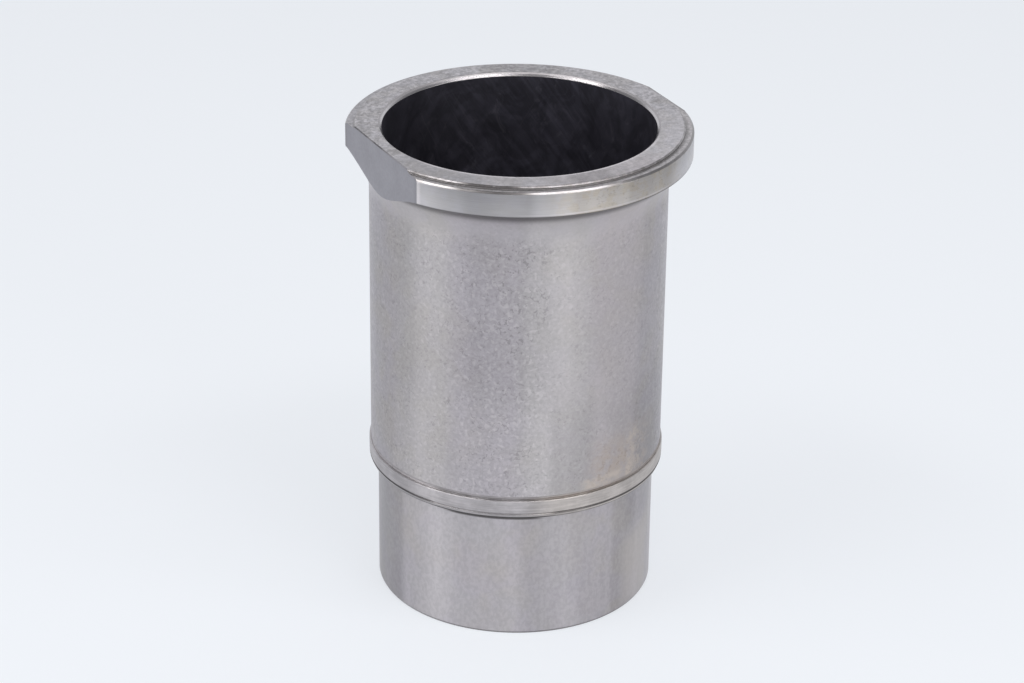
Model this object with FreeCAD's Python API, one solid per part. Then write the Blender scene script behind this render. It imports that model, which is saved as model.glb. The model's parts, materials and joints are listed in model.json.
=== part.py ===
import FreeCAD, Part
import math
import os

# Cylinder liner: one turned iron casting with two milled flats on its flange.
# Millimetres. +Z runs up the bore axis. The origin is on that axis, in the plane of the bottom end.
# The deep flat faces -X and the shallow flat faces +X.

# Bore and walls
BORE_R = 46.0
SKIRT_WALL = 1.95
BODY_WALL = 4.45
COLLAR_RISE = 0.6
LAND_WIDTH = 9.45
FLANGE_OVER_BODY = 7.85

# Lengths along the axis
HEIGHT = 169.3
SKIRT_LENGTH = 46.6
COLLAR_HEIGHT = 6.6
FLANGE_THICKNESS = 9.7
LAND_STEP = 0.95

# Curved neck between the flange and the body
NECK_RADIUS = 14.3
SEAT_WIDTH = 0.7

# Flats. The deep one just clears the body, the shallow one is cut in from the rim.
DEEP_FLAT_OVER_BODY = 0.85
SHALLOW_FLAT_CUT = 1.85
FLAT_EDGE = 0.3

# Chamfered ends of the bore and of the skirt
BORE_MOUTH_CHAMFER = 1.15
BORE_FOOT_CHAMFER = 0.5
SKIRT_CHAMFER_WIDTH = 0.45
SKIRT_CHAMFER_HEIGHT = 0.8

# Small turned steps and broken edges
LAND_EDGE = 0.5
RIM_CHAMFER = 0.65
RIM_EDGE = 0.25
RELIEF_DEPTH = 0.25
RELIEF_WIDTH = 1.0
COLLAR_EDGE = 0.25
LIP_HEIGHT = 1.6
LIP_GROOVE = 0.3
LIP_TAPER = 0.55
SKIRT_FILLET = 0.8

# How far a cutting block reaches past the metal that it removes
OVERRUN = 5.0

# Radii
skirt_r = BORE_R + SKIRT_WALL
body_r = BORE_R + BODY_WALL
relief_r = body_r - RELIEF_DEPTH
collar_r = body_r + COLLAR_RISE
land_r = BORE_R + LAND_WIDTH
flange_r = body_r + FLANGE_OVER_BODY

# Heights of the steps
lip_z = SKIRT_LENGTH + LIP_HEIGHT
collar_z = SKIRT_LENGTH + COLLAR_HEIGHT
relief_z = collar_z + RELIEF_WIDTH
seat_z = HEIGHT - FLANGE_THICKNESS
ledge_z = HEIGHT - LAND_STEP

# The neck arc leaves the body upright and opens out to the narrow seat under the rim.
# A radius too small to get there ends level, and the seat is wider.
neck_centre_r = body_r + NECK_RADIUS
neck_top_r = min(flange_r - SEAT_WIDTH, neck_centre_r)
neck_turn = math.acos((neck_centre_r - neck_top_r) / NECK_RADIUS)
neck_z = seat_z - NECK_RADIUS * math.sin(neck_turn)

# Planes of the flats
deep_x = -(body_r + DEEP_FLAT_OVER_BODY)
shallow_x = flange_r - SHALLOW_FLAT_CUT


def at(radius, height):
    """A point of the half profile."""
    return FreeCAD.Vector(radius, 0, height)


def lines(points):
    """Straight edges from each point to the next."""
    return [Part.makeLine(at(*start), at(*end)) for start, end in zip(points, points[1:])]


def hollow_arc(centre, radius, turn):
    """An edge that curves inwards, from the turn's height above its centre down to the centre's level."""
    def on_arc(angle):
        return at(centre[0] - radius * math.cos(angle), centre[1] + radius * math.sin(angle))
    return Part.Arc(on_arc(turn), on_arc(turn / 2), on_arc(0)).toShape()


# Half profile in three runs, with the neck and the skirt's fillet as arcs between them
bore_land_and_rim = [
    (BORE_R + BORE_FOOT_CHAMFER, 0),
    (BORE_R, BORE_FOOT_CHAMFER),
    (BORE_R, HEIGHT - BORE_MOUTH_CHAMFER),
    (BORE_R + BORE_MOUTH_CHAMFER, HEIGHT),
    (land_r - LAND_EDGE, HEIGHT),
    (land_r, HEIGHT - LAND_EDGE),
    (land_r, ledge_z),
    (flange_r - RIM_CHAMFER, ledge_z),
    (flange_r, ledge_z - RIM_CHAMFER),
    (flange_r, seat_z + RIM_EDGE),
    (flange_r - RIM_EDGE, seat_z),
    (neck_top_r, seat_z),
]
body_and_collar = [
    (body_r, neck_z),
    (body_r, relief_z + RELIEF_DEPTH),
    (relief_r, relief_z),
    (relief_r, collar_z),
    (collar_r - COLLAR_EDGE, collar_z),
    (collar_r, collar_z - COLLAR_EDGE),
    (collar_r, lip_z + LIP_GROOVE),
    (collar_r - LIP_GROOVE, lip_z),
    (collar_r, lip_z - LIP_GROOVE),
    (collar_r - LIP_TAPER, SKIRT_LENGTH),
    (skirt_r + SKIRT_FILLET, SKIRT_LENGTH),
]
skirt_and_end = [
    (skirt_r, SKIRT_LENGTH - SKIRT_FILLET),
    (skirt_r, SKIRT_CHAMFER_HEIGHT),
    (skirt_r - SKIRT_CHAMFER_WIDTH, 0),
    (BORE_R + BORE_FOOT_CHAMFER, 0),
]
neck = hollow_arc((neck_centre_r, neck_z), NECK_RADIUS, neck_turn)
fillet_centre = (skirt_r + SKIRT_FILLET, SKIRT_LENGTH - SKIRT_FILLET)
skirt_fillet = hollow_arc(fillet_centre, SKIRT_FILLET, math.pi / 2)

edges = lines(bore_land_and_rim) + [neck] + lines(body_and_collar) + [skirt_fillet] + lines(skirt_and_end)
profile = Part.Face(Part.Wire(edges))
casting = profile.revolve(FreeCAD.Vector(0, 0, 0), FreeCAD.Vector(0, 0, 1), 360)


def block_beyond(plane_x):
    """All that lies further from the axis than an upright plane, from the body up."""
    depth = flange_r - abs(plane_x) + OVERRUN
    width = 2 * (flange_r + OVERRUN)
    near_x = plane_x if plane_x > 0 else plane_x - depth
    corner = FreeCAD.Vector(near_x, -width / 2, relief_z)
    return Part.makeBox(depth, width, HEIGHT - relief_z + OVERRUN, corner)


def wedge_over_deep_flat():
    """What a 45 degree cut takes off the flat's top edge."""
    width = 2 * (flange_r + OVERRUN)
    outer_x = deep_x - OVERRUN
    inner_x = deep_x + FLAT_EDGE + OVERRUN
    low_z = HEIGHT - FLAT_EDGE - OVERRUN
    high_z = HEIGHT + OVERRUN
    corners = [(outer_x, low_z), (inner_x, high_z), (outer_x, high_z), (outer_x, low_z)]
    outline = Part.makePolygon([FreeCAD.Vector(x, -width / 2, z) for x, z in corners])
    return Part.Face(outline).extrude(FreeCAD.Vector(0, width, 0))


# Each flat is one upright plane. The deep one runs on below the flange into the curved neck,
# and meets it in a blunt V whose point is well down towards the body.
for cutter in (block_beyond(deep_x), block_beyond(shallow_x), wedge_over_deep_flat()):
    casting = casting.cut(cutter)

os.makedirs("parts", exist_ok=True)
casting.exportStep("parts/cylinder_liner.step")
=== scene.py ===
import json
import math

import bmesh
import bpy
from mathutils import Matrix, Vector


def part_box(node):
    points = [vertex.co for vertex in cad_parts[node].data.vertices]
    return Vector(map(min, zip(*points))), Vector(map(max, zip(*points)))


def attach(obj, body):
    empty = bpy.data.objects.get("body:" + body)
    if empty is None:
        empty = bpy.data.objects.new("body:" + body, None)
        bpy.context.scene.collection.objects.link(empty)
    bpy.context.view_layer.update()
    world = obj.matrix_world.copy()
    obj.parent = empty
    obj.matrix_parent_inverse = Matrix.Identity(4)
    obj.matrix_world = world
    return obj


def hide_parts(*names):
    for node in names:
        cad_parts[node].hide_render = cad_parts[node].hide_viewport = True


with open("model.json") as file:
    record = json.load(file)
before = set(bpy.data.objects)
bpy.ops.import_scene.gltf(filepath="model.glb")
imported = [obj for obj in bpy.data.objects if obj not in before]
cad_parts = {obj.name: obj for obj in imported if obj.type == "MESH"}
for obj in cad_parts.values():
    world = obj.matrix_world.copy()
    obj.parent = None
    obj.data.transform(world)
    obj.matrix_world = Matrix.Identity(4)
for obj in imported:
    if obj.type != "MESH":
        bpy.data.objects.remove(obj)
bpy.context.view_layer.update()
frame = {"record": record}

# Cylinder liner, standing on its skirt. +Z runs up the bore axis, and the deep flat faces -X.
# Sizes and places are in metres. Only the finishes count in millimetres, because a Shader's point does.

MM = 0.001

# Camera, as fitted to the photograph. Its azimuth is counted from -Y, against the clock seen from above.
CAMERA_AZIMUTH = math.radians(-27.5)
CAMERA_REACH = 0.96776
CAMERA_HEIGHT = 0.55512
CAMERA_YAW = math.radians(-0.098)
CAMERA_PITCH = math.radians(25.761)
CAMERA_ROLL = math.radians(0.698)
SENSOR_WIDTH = 36.0
FOCAL_LENGTH = 109.58

# Sizes that the frame gives
low_corner, high_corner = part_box("cylinder_liner")
mounts = {mount["name"]: mount for mount in frame["record"]["mounts"]}


def radius_of(name):
    """A round mount's radius."""
    return mounts[name]["dims"]["r_mm"] * MM


def span_of(name):
    """The lower and upper end of a pin that points down."""
    middle = mounts[name]["pos_m"][2]
    half = mounts[name]["dims"]["length_mm"] * MM / 2
    return middle - half, middle + half


bore_r = radius_of("bore")
skirt_r = radius_of("skirt")
collar_r = radius_of("collar")
flange_r = radius_of("flange_rim")
skirt_low, skirt_high = span_of("skirt")
collar_low, collar_high = span_of("collar")
rim_low, rim_high = span_of("flange_rim")
seat_z = mounts["flange_seat"]["pos_m"][2]
height = high_corner[2]
deep_x = low_corner[0]
shallow_x = high_corner[0]

# Sizes that the frame doesn't give
BODY_WALL = 4.45 * MM
LAND_WIDTH = 9.45 * MM
LAND_STEP = 0.95 * MM
NECK_RADIUS = 14.3 * MM
SEAT_WIDTH = 0.7 * MM
MOUTH_CHAMFER = 1.15 * MM
FOOT_CHAMFER = 0.5 * MM
SKIRT_CHAMFER = 0.45 * MM
RIM_CHAMFER = 0.65 * MM
RIM_EDGE = 0.25 * MM
LAND_EDGE = 0.5 * MM
RELIEF_DEPTH = 0.25 * MM
RELIEF_WIDTH = 1.0 * MM
COLLAR_EDGE = 0.25 * MM
LIP_GROOVE = 0.3 * MM
LIP_TAPER = 0.55 * MM
SKIRT_FILLET = 0.8 * MM
FLAT_EDGE = 0.3 * MM

# Where the looks change on the plain walls and on the deep flat's edge
# The body's lower bands of painted light and shade are full below the first height and gone above the
# second
LOWER_BANDS_FULL_Z = 70 * MM
LOWER_BANDS_GONE_Z = 105 * MM
STAIN_Z = 58 * MM
SCRAPED_COLUMN_Z = 62 * MM
SKIRT_SHADE_FROM_Z = 28 * MM
SKIRT_SHADE_FULL_Z = 38 * MM
BEIGE_STREAK_Z = 14 * MM
PLAIN_EDGE_Y = -11 * MM
DARK_EDGE_Y = -3 * MM

# How the surface is divided, and how far its edges are eased
STEPS_ROUND = 360
ARC_STEP = math.radians(4)
EASED_WIDTH = 0.14 * MM
EASED_STEPS = 3
EASED_FROM = math.radians(18)

# Radii, heights and the neck's turn, which follow from the sizes
body_r = bore_r + BODY_WALL
relief_r = body_r - RELIEF_DEPTH
land_r = bore_r + LAND_WIDTH
ledge_z = height - LAND_STEP
lip_z = collar_low - LIP_GROOVE
skirt_length = skirt_high + SKIRT_FILLET
collar_top_z = collar_high + COLLAR_EDGE
relief_z = collar_top_z + RELIEF_WIDTH
neck_centre_r = body_r + NECK_RADIUS
neck_top_r = flange_r - SEAT_WIDTH
neck_turn = math.acos((neck_centre_r - neck_top_r) / NECK_RADIUS)
neck_z = seat_z - NECK_RADIUS * math.sin(neck_turn)


def heading_of(turn):
    """The level angle from +X to a place that is so many degrees to the camera's right."""
    return CAMERA_AZIMUTH - math.pi / 2 + math.radians(turn)


def fill(tree, node, inputs):
    """Each input gets a link where its value is another node's output, and else the plain value."""
    for key, value in inputs.items():
        if isinstance(value, bpy.types.NodeSocket):
            tree.links.new(value, node.inputs[key])
        else:
            node.inputs[key].default_value = value


def add_node(tree, kind, inputs=None, **settings):
    """A new node with these settings and inputs."""
    made = tree.nodes.new(kind)
    for name, value in settings.items():
        setattr(made, name, value)
    fill(tree, made, inputs or {})
    return made


def smooth_range(tree, value, start, end, low=0.0, high=1.0):
    """The value spread from start..end to low..high, with soft ends."""
    inputs = {"Value": value, "From Min": start, "From Max": end, "To Min": low, "To Max": high}
    return add_node(tree, "ShaderNodeMapRange", inputs, interpolation_type="SMOOTHSTEP").outputs[0]


# Sockets of a mix node that are meant for colours
MIX_FACTOR = 0
MIX_FIRST = 6
MIX_SECOND = 7
MIX_RESULT = 2

# How far the brushed look is turned from the way round the axis, as a share of a full turn
BRUSHED_TURN = 0.25


class Shader:
    """A metal's node tree, with short calls for the nodes that the finishes share."""

    def __init__(self, name, metallic=1.0, brushed=0.0):
        self.material = bpy.data.materials.new(name)
        self.material.use_nodes = True
        self.tree = self.material.node_tree
        self.surface = self.tree.nodes["Principled BSDF"]
        self.normal = None
        fill(self.tree, self.surface, {"Metallic": metallic, "Anisotropic": brushed})
        if brushed:
            around = self.node("ShaderNodeTangent", direction_type="RADIAL", axis="Z").outputs[0]
            fill(self.tree, self.surface, {"Anisotropic Rotation": BRUSHED_TURN, "Tangent": around})
        place = self.node("ShaderNodeTexCoord").outputs["Object"]
        self.point = self.vector_math("SCALE", {0: place, "Scale": 1 / MM}).outputs[0]
        self.x, self.y, self.z = self.node("ShaderNodeSeparateXYZ", {0: self.point}).outputs
        level = self.vector_math("MULTIPLY", {0: self.point, 1: (1, 1, 0)}).outputs[0]
        self.radius = self.vector_math("LENGTH", {0: level}).outputs["Value"]

    def node(self, kind, inputs=None, **settings):
        """A new node in this metal's tree."""
        return add_node(self.tree, kind, inputs, **settings)

    def math(self, operation, *values):
        """What the operation makes of numbers or outputs."""
        return self.node("ShaderNodeMath", dict(enumerate(values)), operation=operation).outputs[0]

    def vector_math(self, operation, inputs):
        """A node for vectors. Its first output is a vector, and its output Value a number."""
        return self.node("ShaderNodeVectorMath", inputs, operation=operation)

    def noise(self, scale, stretch=(1, 1, 1), detail=2.0, rough=0.5, curl=0.0, point=None):
        """Noise of so many lumps a millimetre, drawn out along the axes where stretch is under 1."""
        where = self.vector_math("MULTIPLY", {0: point or self.point, 1: stretch}).outputs[0]
        shape = {"Vector": where, "Scale": scale, "Detail": detail, "Roughness": rough, "Distortion": curl}
        return self.node("ShaderNodeTexNoise", shape).outputs["Fac"]

    def ramp(self, value, start, end, low=0.0, high=1.0):
        """The value spread from start..end to low..high, with soft ends."""
        return smooth_range(self.tree, value, start, end, low, high)

    def patches(self, scale, start, end, low=0.0, high=1.0, **shape):
        """Noise spread from start..end to low..high, so that it falls into patches."""
        return self.ramp(self.noise(scale, **shape), start, end, low, high)

    def between(self, mask, outside, inside):
        """A level that goes from outside, where the mask is 0, to inside, where it is 1."""
        return self.ramp(mask, 0.0, 1.0, outside, inside)

    def band(self, value, middle, half, soft):
        """1 where the value is within half of the middle, and 0 beyond a soft edge."""
        off = self.math("ABSOLUTE", self.math("SUBTRACT", value, middle))
        return self.ramp(off, half, half + soft, 1.0, 0.0)

    def side(self, turn, half, soft):
        """1 on one side of the liner: turn is degrees to the camera's right, half and soft its width."""
        heading = heading_of(turn)
        towards = (math.cos(heading), math.sin(heading), 0)
        reach = self.vector_math("DOT_PRODUCT", {0: self.point, 1: towards}).outputs["Value"]
        share = self.math("DIVIDE", reach, self.radius)
        return self.ramp(share, math.cos(math.radians(half + soft)), math.cos(math.radians(half)))

    def product(self, *masks):
        """The masks and plain shares multiplied."""
        total = masks[0]
        for mask in masks[1:]:
            total = self.math("MULTIPLY", total, mask)
        return total

    def mix(self, factor, first, second):
        """The first colour where the factor is 0, and the second where it is 1."""
        inputs = {MIX_FACTOR: factor, MIX_FIRST: first, MIX_SECOND: second}
        return self.node("ShaderNodeMix", inputs, data_type="RGBA").outputs[MIX_RESULT]

    def over(self, colour, other, *masks):
        """The colour with another laid over it, as far as the product of the masks and shares says."""
        return self.mix(self.product(*masks), colour, other)

    def shade(self, colour, factor):
        """The colour made lighter or darker by a factor that changes over the surface."""
        plain = colour if isinstance(colour, bpy.types.NodeSocket) else colour[:3]
        return self.vector_math("SCALE", {0: plain, "Scale": factor}).outputs[0]

    def bump(self, value, depth):
        """Adds relief of that depth in millimetres, on top of what is there."""
        inputs = {"Height": value, "Distance": depth * MM, "Strength": 1.0}
        if self.normal is not None:
            inputs["Normal"] = self.normal
        self.normal = self.node("ShaderNodeBump", inputs).outputs[0]

    def finish(self, colour, roughness):
        """Gives the metal its colour, its roughness and the relief made so far."""
        looks = {"Base Color": colour, "Roughness": roughness}
        if self.normal is not None:
            looks["Normal"] = self.normal
        fill(self.tree, self.surface, looks)
        return self.material


# The iron is a little redder and bluer than a neutral grey. Red takes this share of a grey's warmth.
IRON_TINT = (1.058, 1.0, 1.015)
WARMTH_IN_RED = 0.4

# Linear colours that lean another way than the iron does
WHITE = (1.0, 1.0, 1.0, 1.0)
PHOSPHATE = (0.032, 0.03, 0.0405, 1.0)
PALER_PHOSPHATE = (0.044, 0.0415, 0.055, 1.0)
SCUFFED_PHOSPHATE = (0.085, 0.08, 0.098, 1.0)
HONED_LINE = (0.1, 0.094, 0.113, 1.0)
WARM_LAND = (0.45, 0.41, 0.418, 1.0)
CLEAN_RIM = (0.412, 0.4, 0.414, 1.0)
BLOOMED_RIM = (0.403, 0.39, 0.395, 1.0)
STAINED_RIM = (0.397, 0.36, 0.317, 1.0)
STAINED_BODY = (0.435, 0.375, 0.335, 1.0)
SCRAPED_BODY = (0.52, 0.46, 0.415, 1.0)
STAIN_GRAIN = (0.29, 0.25, 0.225, 1.0)
WARM_COLLAR = (0.49, 0.45, 0.42, 1.0)
WARM_GRIME_AND_SHADE = (0.18, 0.145, 0.12, 1.0)


def grey(level, warmth=0.0):
    """A linear iron grey. Warmth above 0 leans to brown, below 0 to blue."""
    lean = (1 + WARMTH_IN_RED * warmth, 1.0, 1 - warmth)
    return tuple(level * tint * shift for tint, shift in zip(IRON_TINT, lean)) + (1.0,)


def painted_light_bands(shader, colour, *bands):
    """The colour made lighter or darker in upright bands of painted light and shade: (turn, half a width,
    soft edge, factor) each.
    """
    for turn, half, soft, factor in bands:
        colour = shader.shade(colour, shader.between(shader.side(turn, half, soft), 1.0, factor))
    return colour


def turned(shader, depth):
    """Fine rings around the axis, as a turning tool leaves them, a little uneven on their way round."""
    rings = shader.noise(5.0, stretch=(0.02, 0.02, 1.0), detail=3.0)
    shader.bump(rings, depth)
    return rings


def gritty(shader, colour, amount):
    """The faced top's mottle of small dark and light specks."""
    grit = shader.noise(0.7, detail=4.0, rough=0.7)
    dark_specks = shader.patches(0.8, 0.57, 0.67, detail=3.0, rough=0.6, curl=1.0)
    light_specks = shader.patches(0.9, 0.6, 0.68, detail=2.0, rough=0.6)
    colour = shader.shade(colour, shader.ramp(grit, 0.36, 0.64, 1 - 0.27 * amount, 1 + 0.22 * amount))
    colour = shader.over(colour, grey(0.19, 0.03), dark_specks, 0.5 * amount)
    return shader.over(colour, grey(0.66), light_specks, 0.4 * amount)


def bloomed(shader, level, fine, coarse):
    """Iron with coarse yellow patches and fine violet ones, both faint."""
    yellow = shader.patches(coarse, 0.4, 0.6, detail=2.0, rough=0.6)
    violet = shader.patches(fine, 0.4, 0.6, detail=2.0, rough=0.5, curl=0.5)
    colour = shader.mix(yellow, grey(level, -0.01), grey(level, 0.03))
    return shader.over(colour, (level * 1.055, level * 0.99, level * 1.06, 1.0), violet, 0.6)


def bore_finish():
    """Dark phosphate over a honed cross-hatch, with clouds, faint lighter scuffs and slanting streaks, and
    painted light and shade by depth and by side.
    """
    shader = Shader("bore_phosphate", metallic=0.5)
    top = height / MM
    hone_twist = 0.012
    streak_twist = -0.0165

    def slanted(twist, scale, stretch, rough):
        """Noise drawn out up the wall, turning by so many radians a millimetre."""
        spin = {"Vector": shader.point, "Angle": shader.math("MULTIPLY", shader.z, twist)}
        twisted = shader.node("ShaderNodeVectorRotate", spin, rotation_type="Z_AXIS").outputs[0]
        return shader.noise(scale, stretch=(1.0, 1.0, stretch), detail=4.0, rough=rough, point=twisted)

    hatches = [slanted(twist, 1.2, 0.02, 0.7) for twist in (-hone_twist, hone_twist)]
    crossed = shader.math("MAXIMUM", *hatches)
    shader.bump(crossed, depth=0.01)
    lines = shader.ramp(crossed, 0.56, 0.74)
    cloud = shader.patches(0.07, 0.38, 0.66, detail=4.0, curl=0.8)
    scuffs = shader.patches(0.16, 0.55, 0.7, stretch=(1.0, 1.0, 0.5), detail=5.0, rough=0.7, curl=1.5)
    wisps = shader.patches(0.11, 0.4, 0.62, stretch=(1.0, 1.0, 0.8), detail=6.0, rough=0.62, curl=1.2)
    streaks = shader.ramp(slanted(streak_twist, 0.3, 0.12, 0.65), 0.42, 0.62, 0.84, 1.26)
    streaks = shader.mix(shader.side(178, 24, 20), WHITE, streaks)
    colour = shader.mix(cloud, PHOSPHATE, PALER_PHOSPHATE)
    colour = shader.over(colour, SCUFFED_PHOSPHATE, scuffs, 0.55)
    colour = shader.shade(colour, shader.between(wisps, 0.84, 1.22))
    colour = shader.shade(colour, streaks)
    # Painted light: lighter deep in the bore and a little darker near its top, then painted light and shade
    # in upright bands
    colour = shader.shade(colour, shader.ramp(shader.z, top - 45.0, top - 8.0, 1.2, 0.94))
    colour = painted_light_bands(shader, colour, (138, 30, 30, 1.22), (180, 14, 20, 1.12), (-118, 12, 18, 0.84))
    colour = shader.over(colour, HONED_LINE, lines, cloud, 0.5)
    return shader.finish(colour, roughness=shader.between(lines, 0.5, 0.4))


def mouth_finish():
    """The turned chamfer at the bore's mouth: a painted highlight at the back with a narrow painted shade
    in it, painted shade on both sides, darker along its lower edge, rougher on top.
    """
    shader = Shader("mouth_chamfer")
    top = height / MM
    turned(shader, depth=0.002)
    nicks = shader.patches(0.6, 0.55, 0.72, detail=3.0)
    colour = shader.mix(nicks, grey(0.5), grey(0.4, 0.02))
    # Painted highlight at the back, and a narrow painted shade within it
    colour = shader.over(colour, grey(0.85), shader.side(-157, 13, 8), 0.7)
    colour = shader.over(colour, grey(0.25), shader.side(174, 3, 7), 0.5)
    # Painted shade on both sides, fading out towards the top, and darker along the lower edge
    stain_and_shade = shader.math("MAXIMUM", shader.side(-128, 12, 14), shader.side(128, 10, 12))
    stain = shader.product(stain_and_shade, shader.ramp(shader.z, top - 1.0, top - 0.3, 0.6, 0.0))
    brink = shader.ramp(shader.z, top - 1.12, top - 0.95, 0.6, 0.0)
    colour = shader.over(colour, grey(0.15), shader.math("MAXIMUM", stain, brink))
    rolled = shader.ramp(shader.z, top - 0.62, top - 0.38)
    colour = shader.over(colour, grey(0.42), rolled)
    return shader.finish(colour, roughness=shader.between(rolled, 0.2, 0.43))


def land_finish():
    """The faced top land: gritty and faintly ringed, brown on the right, with painted light and shade in
    upright bands and a patchy painted highlight along its edge by the bore, in front.
    """
    shader = Shader("top_land")
    outwards = shader.node("ShaderNodeCombineXYZ", {0: shader.radius}).outputs[0]
    rings = shader.noise(2.0, detail=4.0, point=outwards)
    shader.bump(rings, depth=0.003)
    bloom = shader.patches(0.13, 0.4, 0.6, detail=5.0, rough=0.65, curl=0.5)
    colour = shader.mix(bloom, grey(0.435, -0.018), grey(0.4, 0.012))
    colour = shader.over(colour, WARM_LAND, shader.side(34, 14, 16), 0.7)
    # Painted light and shade in upright bands
    colour = painted_light_bands(shader, colour, (72, 16, 22, 1.12), (-32, 8, 18, 0.88), (27, 4, 6, 0.8))
    colour = painted_light_bands(shader, colour, (180, 8, 12, 0.86))
    colour = shader.shade(colour, shader.ramp(rings, 0.3, 0.7, 0.96, 1.04))
    blotches = shader.patches(0.28, 0.35, 0.65, 0.93, 1.06, detail=3.0, rough=0.6)
    colour = shader.shade(colour, blotches)
    grit_share = shader.between(shader.side(25, 60, 35), 1.0, 0.5)
    colour = shader.over(colour, gritty(shader, colour, 1.0), grit_share)
    # Painted highlight in patches along the edge by the bore, in front
    inner_r = (bore_r + MOUTH_CHAMFER) / MM
    inner = shader.ramp(shader.radius, inner_r + 0.4, inner_r + 1.2, 1.0, 0.0)
    patchiness = shader.patches(0.3, 0.36, 0.55, 0.3, 0.85, detail=4.0, rough=0.6)
    colour = shader.over(colour, grey(0.66), inner, patchiness, shader.side(16, 50, 15))
    return shader.finish(colour, roughness=0.43)


def land_edge_finish():
    """The land's broken outer edge: lighter in patches of wear, but for a rougher stretch in front with
    painted shade.
    """
    shader = Shader("land_edge")
    patchiness = shader.patches(0.3, 0.38, 0.6, detail=4.0, rough=0.6)
    # Painted shade on a stretch in front, which is also rougher
    dull_painted_shade = shader.side(-9, 5, 6)
    colour = shader.mix(patchiness, grey(0.24, 0.03), grey(0.36))
    colour = shader.over(colour, grey(0.09, 0.02), dull_painted_shade, 0.92)
    colour = gritty(shader, colour, 0.5)
    return shader.finish(colour, roughness=shader.between(dull_painted_shade, 0.38, 0.6))


def ledge_finish():
    """The step's riser with painted shade, and the narrow ledge with painted shade in the corner and along
    the shallow flat.
    """
    shader = Shader("ledge")
    foot_z = ledge_z / MM
    corner_r = land_r / MM
    edge_x = shallow_x / MM
    # Painted shade on the riser, in the corner on the front and sides, and along the shallow flat
    riser = shader.ramp(shader.z, foot_z + 0.02, foot_z + 0.2)
    corner = shader.ramp(shader.radius, corner_r + 0.2, corner_r + 1.4, 0.55, 0.0)
    corner = shader.product(corner, shader.side(15, 75, 15))
    by_flat = shader.ramp(shader.x, edge_x - 1.0, edge_x - 0.3, 0.0, 0.6)
    painted_shade = shader.math("MAXIMUM", riser, shader.math("MAXIMUM", corner, by_flat))
    colour = shader.mix(shader.side(-110, 25, 20), grey(0.43, 0.01), grey(0.38, -0.02))
    colour = gritty(shader, colour, 0.8)
    colour = shader.over(colour, grey(0.15, 0.03), painted_shade)
    return shader.finish(colour, roughness=0.42)


def rim_edge_finish():
    """The rim's turned upper chamfer: bright, but for painted shade on a stretch in front and on the right.
    """
    shader = Shader("rim_chamfer")
    patchiness = shader.patches(0.25, 0.38, 0.6, detail=4.0, rough=0.6)
    colour = shader.mix(patchiness, grey(0.31, 0.03), grey(0.38))
    # Painted shade on a stretch in front and on the right
    colour = shader.over(colour, grey(0.1, 0.02), shader.side(-9, 9, 6), 0.92)
    colour = shader.over(colour, grey(0.13, 0.02), shader.side(64, 20, 18), 0.5)
    return shader.finish(colour, roughness=0.3)


def rim_finish():
    """The smooth turned rim, brown on the right, with painted light and shade in upright bands and from top
    to bottom, a painted highlight low down and at the deep flat, and painted shade along its lower edge.
    """
    shader = Shader("flange_rim", brushed=0.7)
    low_z = rim_low / MM
    flat_x = deep_x / MM
    rings = turned(shader, depth=0.002)
    bloom = shader.patches(0.11, 0.42, 0.58, detail=5.0, rough=0.65, curl=0.4)
    blots = shader.patches(0.3, 0.42, 0.6, detail=4.0, rough=0.65)
    specks = shader.patches(0.8, 0.56, 0.68, detail=3.0, rough=0.6, curl=0.5)
    colour = shader.mix(bloom, CLEAN_RIM, BLOOMED_RIM)
    colour = shader.over(colour, STAINED_RIM, shader.side(37, 14, 18), shader.between(blots, 0.55, 1.0))
    colour = shader.over(colour, grey(0.2, 0.1), specks, shader.side(50, 22, 15), 0.38)
    colour = shader.shade(colour, shader.ramp(rings, 0.3, 0.7, 0.95, 1.04))
    # Painted light and shade in upright bands, then painted light low down and painted shade near the top
    colour = painted_light_bands(shader, colour, (-6, 6, 9, 0.87), (11, 2, 7, 1.18), (20, 2, 5, 0.97), (30, 3, 7, 1.13))
    colour = painted_light_bands(shader, colour, (43, 3, 4, 0.91), (62, 5, 6, 0.92), (80, 12, 14, 1.3))
    colour = shader.shade(colour, shader.ramp(shader.z, low_z + 1.0, rim_high / MM, 1.08, 0.9))
    # Painted highlights: a line low down on the right, and a strip along the corner at the deep flat
    highlight_line = shader.band(shader.z, low_z + 0.7, 0.15, 0.25)
    highlight_side = shader.between(shader.side(30, 20, 14), 0.0, 0.4)
    corner = shader.ramp(shader.x, flat_x + 0.3, flat_x + 0.9, 1.0, 0.0)
    bright = shader.math("MAXIMUM", shader.product(highlight_line, highlight_side), shader.product(corner, 0.4))
    colour = shader.over(colour, grey(0.6), bright)
    # Painted shade along the rim's lower edge
    below = shader.ramp(shader.z, low_z, low_z + 0.45, 1.0, 0.0)
    colour = shader.over(colour, grey(0.08), below, 0.78)
    return shader.finish(colour, roughness=0.38)


def flat_finish():
    """The milled flats, with faint level tool marks. The deep one is darker at both ends, by the rim."""
    shader = Shader("milled_flat")
    half_width = math.sqrt(flange_r ** 2 - deep_x ** 2) / MM
    marks = shader.noise(2.2, stretch=(1.0, 0.03, 1.0), detail=3.0)
    shader.bump(marks, depth=0.002)
    cloud = shader.patches(0.12, 0.3, 0.7, 0.96, 1.04, detail=3.0)
    grain = shader.patches(0.8, 0.35, 0.65, 0.965, 1.035, detail=3.0, rough=0.6)
    colour = shader.shade(shader.shade(grey(0.312, -0.065), cloud), grain)
    off_middle = shader.math("ABSOLUTE", shader.y)
    by_rim = shader.ramp(off_middle, half_width - 3.0, half_width - 0.6, 0.0, 0.45)
    colour = shader.over(colour, grey(0.24, -0.05), by_rim)
    return shader.finish(colour, roughness=0.42)


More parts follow.
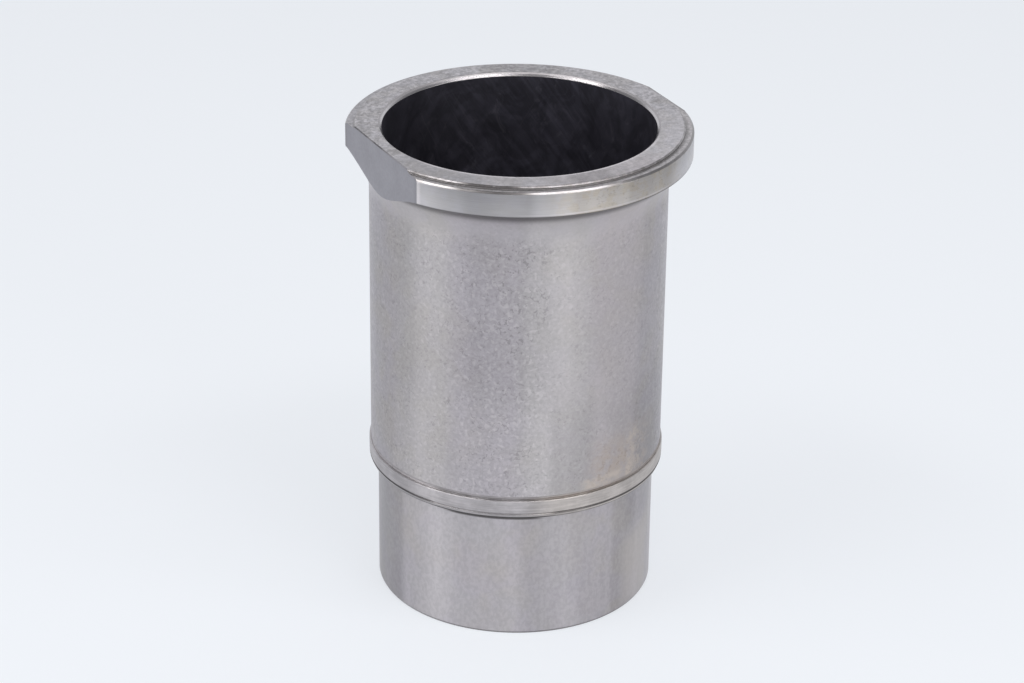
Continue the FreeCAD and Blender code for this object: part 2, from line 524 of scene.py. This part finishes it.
def flat_edge_finish():
    """The broken upper edge of the deep flat: plain at its near end, and dark in patches beyond."""
    shader = Shader("flat_edge")
    patchiness = shader.patches(0.3, 0.42, 0.62, detail=4.0)
    darkened = shader.mix(patchiness, grey(0.15, -0.03), grey(0.27, -0.01))
    beyond = shader.ramp(shader.y, PLAIN_EDGE_Y / MM, DARK_EDGE_Y / MM)
    return shader.finish(shader.mix(beyond, grey(0.33, -0.04), darkened), roughness=0.5)


def with_reflection_stripes(shader, level):
    """The body's iron, with painted reflections in wide upright stripes, some leaning a little to yellow,
    some to violet.
    """
    colour = bloomed(shader, level, 0.09, 0.035)
    stripes = (
        (-38, 8, (1.045, 1.0, 0.985)),
        (-12, 8, (1.06, 0.99, 1.045)),
        (16, 8, (1.05, 1.0, 0.985)),
        (42, 6, (1.085, 0.995, 1.0)),
    )
    for turn, half, tint in stripes:
        stripe = tuple(level * share for share in tint) + (1.0,)
        colour = shader.over(colour, stripe, shader.side(turn, half, 10), 0.55)
    return colour


def stain_and_shade(shader, colour):
    """The body's brown stain low on the right: blotched, grainy, and scraped light in two places."""
    stain_band = shader.band(shader.z, STAIN_Z / MM, 5.0, 14.0)
    stain = shader.product(shader.side(47, 9, 12), stain_band)
    blots = shader.patches(0.3, 0.38, 0.6, 0.25, 1.0, detail=4.0, rough=0.65)
    colour = shader.over(colour, STAINED_BODY, stain, blots, 0.85)
    by_collar = shader.product(shader.side(40, 9, 7), shader.band(shader.z, relief_z / MM + 1.9, 1.2, 1.8))
    column = shader.product(shader.side(53, 2, 4), shader.band(shader.z, SCRAPED_COLUMN_Z / MM, 7.0, 6.0))
    scraped = shader.math("MAXIMUM", by_collar, shader.product(column, 0.8))
    colour = shader.over(colour, SCRAPED_BODY, scraped, blots, 0.85)
    grains = shader.patches(0.6, 0.56, 0.66, detail=2.0, rough=0.6, curl=1.0)
    colour = shader.over(colour, STAIN_GRAIN, stain, grains, 0.4)
    mottle = shader.patches(0.4, 0.42, 0.6, 0.2, 0.85, detail=3.0, rough=0.6, curl=1.0)
    return shader.over(colour, grey(0.3), shader.side(61, 5, 6), stain_band, mottle)


def body_finish():
    """The body's skin of pits and worm marks, which fades in the smooth neck, and the stain low down, with
    painted reflections, painted light and shade in upright bands, painted light up the neck and painted
    shade under the rim.
    """
    shader = Shader("body_skin", brushed=0.6)
    skin = shader.ramp(shader.z, neck_z / MM - 3.0, neck_z / MM + 4.0, 1.0, 0.3)
    on_right = shader.between(shader.side(40, 20, 16), 1.0, 0.52)
    on_left = shader.between(shader.side(-48, 18, 16), 1.0, 0.72)
    skin = shader.product(skin, on_right, on_left)
    worms = shader.noise(0.85, detail=1.0, rough=0.4, curl=0.6)
    threads = shader.band(shader.noise(0.31, detail=1.0, rough=0.5, curl=1.5), 0.5, 0.008, 0.03)
    clusters = shader.patches(0.14, 0.4, 0.6, 0.35, 1.0, detail=2.0)
    pits = shader.patches(0.82, 0.585, 0.67, detail=1.0, rough=0.5, curl=0.9)
    bright = shader.patches(0.7, 0.64, 0.72, detail=0.0, curl=0.3)
    cloud = shader.patches(0.045, 0.3, 0.7, 0.97, 1.03, detail=4.0, rough=0.55)
    colour = shader.shade(with_reflection_stripes(shader, 0.412), cloud)
    smooth = shader.math("SUBTRACT", 1.0, skin)
    ripple = shader.product(shader.ramp(worms, 0.3, 0.7, 0.94, 1.06), skin)
    colour = shader.shade(colour, shader.math("ADD", ripple, smooth))
    colour = shader.over(colour, grey(0.26), threads, skin, 0.18)
    colour = shader.over(colour, grey(0.56), bright, skin, 0.4)
    colour = shader.over(colour, grey(0.22), pits, clusters, skin, 0.53)
    # Painted light and shade in upright bands, with more of them low down
    colour = painted_light_bands(shader, colour, (-58, 8, 12, 0.94), (-7, 6, 9, 0.94), (12, 4, 8, 1.06))
    colour = painted_light_bands(shader, colour, (63, 4, 8, 0.94))
    low_down = shader.ramp(shader.z, LOWER_BANDS_FULL_Z / MM, LOWER_BANDS_GONE_Z / MM, 1.0, 0.0)
    lower = painted_light_bands(shader, colour, (-46, 5, 7, 1.06), (-4, 12, 10, 1.13), (22, 4, 8, 0.88))
    lower = painted_light_bands(shader, lower, (46, 4, 7, 0.93), (66, 10, 8, 0.87))
    colour = shader.over(colour, lower, low_down)
    # Painted light: lighter up the neck, towards the rim
    neck = shader.ramp(shader.z, neck_z / MM - 5.0, seat_z / MM - 5.0)
    colour = shader.shade(colour, shader.between(neck, 1.0, 1.14))
    colour = stain_and_shade(shader, colour)
    # Painted shade under the rim
    under_rim = shader.ramp(shader.z, seat_z / MM - 4.8, seat_z / MM - 1.3, 0.0, 0.72)
    colour = shader.over(colour, grey(0.08), under_rim)
    shader.bump(shader.product(worms, skin), depth=0.004)
    return shader.finish(colour, roughness=shader.ramp(worms, 0.35, 0.65, 0.47, 0.43))


def collar_finish():
    """The turned collar, warm on the right, with painted shade in an upright band on the left, brown grime
    and painted shade in the relief above, painted light in the relief on the left, and painted shade in the
    groove and below the lip.
    """
    shader = Shader("collar", brushed=0.7)
    turned(shader, depth=0.002)
    cloud = shader.patches(0.15, 0.35, 0.65, 0.9, 1.08, detail=4.0, rough=0.65)
    streaks = shader.patches(1.6, 0.35, 0.65, 0.9, 1.08, stretch=(0.06, 0.06, 1.0), detail=3.0, rough=0.6)
    right = shader.side(48, 30, 18)
    colour = shader.over(grey(0.435), WARM_COLLAR, right, 0.8)
    colour = shader.shade(shader.shade(colour, cloud), streaks)
    # Painted shade in an upright band on the left
    colour = painted_light_bands(shader, colour, (-44, 6, 8, 0.92))
    # Brown grime and painted shade in the relief, heavier in front, then painted light in it on the left
    relief = shader.band(shader.z, collar_top_z / MM + 0.3, 0.15, 0.35)
    patchy = shader.patches(0.12, 0.4, 0.6, 0.6, 1.0, detail=4.0, rough=0.6)
    in_front = shader.between(shader.side(8, 32, 14), 0.15, 0.7)
    grime_and_shade_colour = shader.mix(right, grey(0.13, 0.02), WARM_GRIME_AND_SHADE)
    colour = shader.over(colour, grime_and_shade_colour, relief, in_front, patchy)
    colour = shader.over(colour, grey(0.62), relief, shader.side(-62, 20, 12), 0.6)
    # Painted shade in the groove and below the lip, weighted by side
    middle = shader.side(-9, 18, 10)
    in_groove = shader.between(middle, 0.8, 0.3)
    below_lip = shader.between(middle, 0.5, 0.95)
    for shaded_z, half, amount in ((lip_z, 0.25, in_groove), (skirt_length, 0.35, below_lip)):
        painted_shade = shader.band(shader.z, shaded_z / MM, half, 0.35)
        colour = shader.over(colour, grey(0.06, 0.03), painted_shade, amount)
    roughness = shader.ramp(shader.z, collar_high / MM + 0.3, collar_high / MM + 0.6, 0.4, 0.6)
    return shader.finish(colour, roughness)


def skirt_finish():
    """The ground skirt: soft upright streaks, painted light and shade in upright bands, darkest on the
    left, beige on the right, and painted shade high on the right, below the lip and at the foot.
    """
    shader = Shader("skirt", brushed=0.7)
    lip_foot_z = skirt_length / MM
    streaks = shader.patches(0.12, 0.3, 0.7, 0.96, 1.04, stretch=(1.0, 1.0, 0.15), detail=4.0, rough=0.5)
    grain = shader.noise(0.8, stretch=(1.0, 1.0, 0.7), detail=3.0, rough=0.6, curl=0.4)
    turned(shader, depth=0.0015)
    colour = shader.shade(bloomed(shader, 0.43, 0.06, 0.03), streaks)
    colour = shader.shade(colour, shader.ramp(grain, 0.35, 0.65, 0.94, 1.06))
    # Painted light and shade in upright bands
    colour = painted_light_bands(shader, colour, (-68, 9, 10, 0.76), (-18, 10, 16, 1.07), (11, 4, 8, 0.95))
    colour = painted_light_bands(shader, colour, (34, 14, 12, 0.93), (52, 4, 6, 0.87), (70, 4, 4, 0.96))
    # Painted shade high up on the right
    upper = shader.ramp(shader.z, SKIRT_SHADE_FROM_Z / MM, SKIRT_SHADE_FULL_Z / MM)
    upper_right = shader.product(shader.side(66, 8, 8), upper)
    colour = shader.shade(colour, shader.between(upper_right, 1.0, 0.92))
    beige_band = shader.band(shader.z, BEIGE_STREAK_Z / MM, 8.0, 12.0)
    colour = shader.over(colour, grey(0.5, 0.06), shader.side(62, 5, 9), beige_band, 0.5)
    # Painted shade below the lip, in front
    by_lip = shader.ramp(shader.z, lip_foot_z - 2.3, lip_foot_z - 1.7)
    colour = shader.over(colour, grey(0.07, 0.03), by_lip, shader.side(-9, 15, 8), 0.9)
    # Painted shade along the foot, where the skirt meets the floor
    foot = shader.ramp(shader.z, 0.5, 1.0, 1.0, 0.0)
    colour = shader.over(colour, grey(0.1, 0.03), foot, 0.6)
    return shader.finish(colour, roughness=0.4)


# The liner's zones. A zone's place in this order is its material slot.
FINISHES = {
    "bore": bore_finish,
    "mouth": mouth_finish,
    "land": land_finish,
    "land_edge": land_edge_finish,
    "rim_edge": rim_edge_finish,
    "ledge": ledge_finish,
    "rim": rim_finish,
    "flat": flat_finish,
    "flat_edge": flat_edge_finish,
    "body": body_finish,
    "collar": collar_finish,
    "skirt": skirt_finish,
}
ZONES = list(FINISHES)


def arc(centre, radius, start, end):
    """Points of a half profile's arc, without its two ends. Angles are counted from outwards to up."""
    centre_r, centre_z = centre
    steps = max(2, math.ceil(abs(end - start) / ARC_STEP))
    angles = [start + (end - start) * step / steps for step in range(1, steps)]
    return [(centre_r + radius * math.cos(angle), centre_z + radius * math.sin(angle)) for angle in angles]


def half_profile():
    """(zone, points) for each run of the half profile. A run goes on from the last point before it."""
    neck = arc((neck_centre_r, neck_z), NECK_RADIUS, math.pi - neck_turn, math.pi)
    fillet_centre = (skirt_r + SKIRT_FILLET, skirt_high)
    fillet = arc(fillet_centre, SKIRT_FILLET, math.pi / 2, math.pi)
    foot_r = bore_r + FOOT_CHAMFER
    return [
        ("bore", [(bore_r, FOOT_CHAMFER), (bore_r, height - MOUTH_CHAMFER)]),
        ("mouth", [(bore_r + MOUTH_CHAMFER, height)]),
        ("land", [(land_r - LAND_EDGE, height)]),
        ("land_edge", [(land_r, height - LAND_EDGE)]),
        ("ledge", [(land_r, ledge_z), (flange_r - RIM_CHAMFER, ledge_z)]),
        ("rim_edge", [(flange_r, rim_high)]),
        ("rim", [(flange_r, rim_low), (flange_r - RIM_EDGE, seat_z), (neck_top_r, seat_z)]),
        ("body", neck + [(body_r, neck_z), (body_r, relief_z + RELIEF_DEPTH)]),
        ("collar", [(relief_r, relief_z), (relief_r, collar_top_z),
                    (collar_r - COLLAR_EDGE, collar_top_z), (collar_r, collar_high),
                    (collar_r, collar_low), (collar_r - LIP_GROOVE, lip_z), (collar_r, lip_z - LIP_GROOVE),
                    (collar_r - LIP_TAPER, skirt_length), (skirt_r + SKIRT_FILLET, skirt_length)]),
        ("skirt", fillet + [(skirt_r, skirt_high), (skirt_r, skirt_low), (skirt_r - SKIRT_CHAMFER, 0.0),
                            (foot_r, 0.0)]),
        ("bore", [(bore_r, FOOT_CHAMFER)]),
    ]


def lathe():
    """The turned body before its flats are cut: a ring of faces for each edge of the half profile."""
    runs = half_profile()
    points = [runs[0][1][0]]
    zones = []
    for zone, run in runs:
        for point in run:
            if point != points[-1]:
                points.append(point)
                zones.append(zone)
    mesh = bmesh.new()
    angles = [2 * math.pi * step / STEPS_ROUND for step in range(STEPS_ROUND)]
    # The last point is the first one again, so the first ring closes the profile
    rings = [
        [mesh.verts.new((r * math.cos(angle), r * math.sin(angle), z)) for angle in angles]
        for r, z in points[:-1]
    ]
    rings.append(rings[0])
    for zone, ring, next_ring in zip(zones, rings, rings[1:]):
        for step in range(STEPS_ROUND):
            after = (step + 1) % STEPS_ROUND
            face = mesh.faces.new((ring[step], next_ring[step], next_ring[after], ring[after]))
            face.material_index = ZONES.index(zone)
            face.smooth = True
    return mesh


def cut_flat(mesh, point, outwards, zone):
    """Cuts off all that lies beyond a plane and closes the cut."""
    parts = mesh.verts[:] + mesh.edges[:] + mesh.faces[:]
    cut = bmesh.ops.bisect_plane(mesh, geom=parts, plane_co=point, plane_no=outwards, clear_outer=True)
    edges = [part for part in cut["geom_cut"] if isinstance(part, bmesh.types.BMEdge)]
    made = bmesh.ops.contextual_create(mesh, geom=edges)
    for face in made["faces"]:
        face.material_index = ZONES.index(zone)
        face.smooth = True


def mark_edges(mesh):
    """Corners are to be eased, but where a flat runs out into the neck it keeps a plain sharp edge."""
    mesh.normal_update()
    run_out = {ZONES.index("flat"), ZONES.index("body")}
    weights = mesh.edges.layers.float.new("bevel_weight_edge")
    for edge in mesh.edges:
        if {face.material_index for face in edge.link_faces} == run_out:
            edge.smooth = False
        elif edge.calc_face_angle() > EASED_FROM:
            edge[weights] = 1.0


def build_liner():
    """The dressed casting, in one piece, with a material for each zone."""
    mesh = lathe()
    cut_flat(mesh, (deep_x, 0, 0), (-1, 0, 0), "flat")
    cut_flat(mesh, (shallow_x, 0, 0), (1, 0, 0), "flat")
    cut_flat(mesh, (deep_x, 0, height - FLAT_EDGE), (-1, 0, 1), "flat_edge")
    bmesh.ops.recalc_face_normals(mesh, faces=mesh.faces)
    mark_edges(mesh)
    data = bpy.data.meshes.new("liner")
    mesh.to_mesh(data)
    mesh.free()
    for make in FINISHES.values():
        data.materials.append(make())
    liner = bpy.data.objects.new("liner_casting", data)
    bpy.context.scene.collection.objects.link(liner)
    ease = liner.modifiers.new("eased_edges", "BEVEL")
    ease.limit_method = "WEIGHT"
    ease.width = EASED_WIDTH
    ease.segments = EASED_STEPS
    ease.use_clamp_overlap = False
    ease.harden_normals = True
    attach(liner, "root")
    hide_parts("cylinder_liner")


def build_camera():
    """The camera where the photograph was taken from."""
    data = bpy.data.cameras.new("camera")
    data.sensor_fit = "HORIZONTAL"
    data.sensor_width = SENSOR_WIDTH
    data.lens = FOCAL_LENGTH
    camera = bpy.data.objects.new("camera", data)
    heading = Matrix.Rotation(CAMERA_AZIMUTH, 4, "Z")
    turn = Matrix.Rotation(-CAMERA_YAW, 4, "Z")
    tilt = Matrix.Rotation(math.pi / 2 - CAMERA_PITCH, 4, "X")
    roll = Matrix.Rotation(CAMERA_ROLL, 4, "Z")
    stand = Matrix.Translation(Vector((0, -CAMERA_REACH, CAMERA_HEIGHT)))
    camera.matrix_world = heading @ stand @ turn @ tilt @ roll
    bpy.context.scene.collection.objects.link(camera)
    bpy.context.scene.camera = camera


# Floor and world. The low band fades between two rises, the backdrop between two angles off its middle.
BACKGROUND = (0.871, 0.896, 0.935, 1.0)
FLOOR_SIZE = 14.0
FLOOR_GLOW = 0.65
BACKDROP_LEVEL = 1.0
ROOM_LEVEL = 0.5
LOW_FROM = math.radians(6)
LOW_TO = math.radians(18)
BACKDROP_FROM = math.radians(42)
BACKDROP_TO = math.radians(68)

# Lamps, all aimed at the liner's middle: name, turn, lift, reach, size, level, roll
AIM = Vector((0, 0, height / 2))
LAMPS = (
    ("left_top", -65, 56, 1.2, (0.74, 0.24), 5.8, 15),
    ("right_top", 42, 60, 1.2, (1.0, 0.24), 5.4, -18),
    ("left", -64, 12, 1.7, (0.68, 0.85), 2.8, 0),
    ("front", -4, 3, 1.4, (0.5, 0.4), 1.5, 0),
    ("right", 38, 14, 1.7, (0.75, 1.02), 2.3, 0),
    ("far_right", 76, 14, 1.7, (0.57, 0.85), 1.2, 0),
)


def seen_directly(tree):
    """1 for camera, glossy and transmission rays."""
    path = add_node(tree, "ShaderNodeLightPath")
    total = path.outputs["Is Camera Ray"]
    for name in ("Is Glossy Ray", "Is Transmission Ray"):
        rays = {0: total, 1: path.outputs[name]}
        total = add_node(tree, "ShaderNodeMath", rays, operation="ADD", use_clamp=True).outputs[0]
    return total


def build_floor():
    """A white floor that takes shadows, and partly glows where it is seen directly."""
    mesh = bmesh.new()
    bmesh.ops.create_grid(mesh, x_segments=1, y_segments=1, size=FLOOR_SIZE / 2)
    data = bpy.data.meshes.new("floor")
    mesh.to_mesh(data)
    mesh.free()
    floor = bpy.data.objects.new("floor", data)
    bpy.context.scene.collection.objects.link(floor)
    material = bpy.data.materials.new("floor_white")
    material.use_nodes = True
    tree = material.node_tree
    tree.nodes.clear()
    paint = add_node(tree, "ShaderNodeBsdfDiffuse", {"Color": BACKGROUND}).outputs[0]
    glow = add_node(tree, "ShaderNodeEmission", {"Color": BACKGROUND}).outputs[0]
    amounts = {0: seen_directly(tree), 1: FLOOR_GLOW}
    share = add_node(tree, "ShaderNodeMath", amounts, operation="MULTIPLY").outputs[0]
    blend = add_node(tree, "ShaderNodeMixShader", {0: share, 1: paint, 2: glow}).outputs[0]
    add_node(tree, "ShaderNodeOutputMaterial", {"Surface": blend})
    data.materials.append(material)


def build_world():
    """A pale backdrop behind the liner and low down all round, and a dimmer room above."""
    world = bpy.data.worlds.new("studio")
    bpy.context.scene.world = world
    world.use_nodes = True
    tree = world.node_tree
    place = add_node(tree, "ShaderNodeTexCoord").outputs["Generated"]
    rise = add_node(tree, "ShaderNodeSeparateXYZ", {0: place}).outputs["Z"]
    low_down = smooth_range(tree, rise, math.sin(LOW_FROM), math.sin(LOW_TO), 1.0, 0.0)
    away = (-math.sin(CAMERA_AZIMUTH), math.cos(CAMERA_AZIMUTH), 0.0)
    reach = add_node(tree, "ShaderNodeVectorMath", {0: place, 1: away}, operation="DOT_PRODUCT")
    behind = reach.outputs["Value"]
    backdrop = smooth_range(tree, behind, math.cos(BACKDROP_TO), math.cos(BACKDROP_FROM))
    pale = add_node(tree, "ShaderNodeMath", {0: low_down, 1: backdrop}, operation="MAXIMUM").outputs[0]
    strength = smooth_range(tree, pale, 0.0, 1.0, ROOM_LEVEL, BACKDROP_LEVEL)
    fill(tree, tree.nodes["Background"], {"Color": BACKGROUND, "Strength": strength})


def softbox(name, turn, lift, reach, size, level, roll):
    """A soft lamp. Turn is degrees to the camera's right, lift is degrees up, and level 1 is white."""
    heading = heading_of(turn)
    rise = math.radians(lift)
    away = Vector((math.cos(heading) * math.cos(rise), math.sin(heading) * math.cos(rise), math.sin(rise)))
    data = bpy.data.lights.new(name, "AREA")
    data.shape = "RECTANGLE"
    data.size, data.size_y = size
    data.energy = level * math.pi * size[0] * size[1]
    lamp = bpy.data.objects.new(name, data)
    facing = away.to_track_quat("Z", "Y").to_matrix().to_4x4()
    spin = Matrix.Rotation(math.radians(roll), 4, "Z")
    lamp.matrix_world = Matrix.Translation(AIM + away * reach) @ (facing @ spin)
    bpy.context.scene.collection.objects.link(lamp)


build_liner()
build_camera()
build_floor()
build_world()
for lamp in LAMPS:
    softbox(*lamp)

scene = bpy.context.scene
scene.view_settings.view_transform = "Standard"
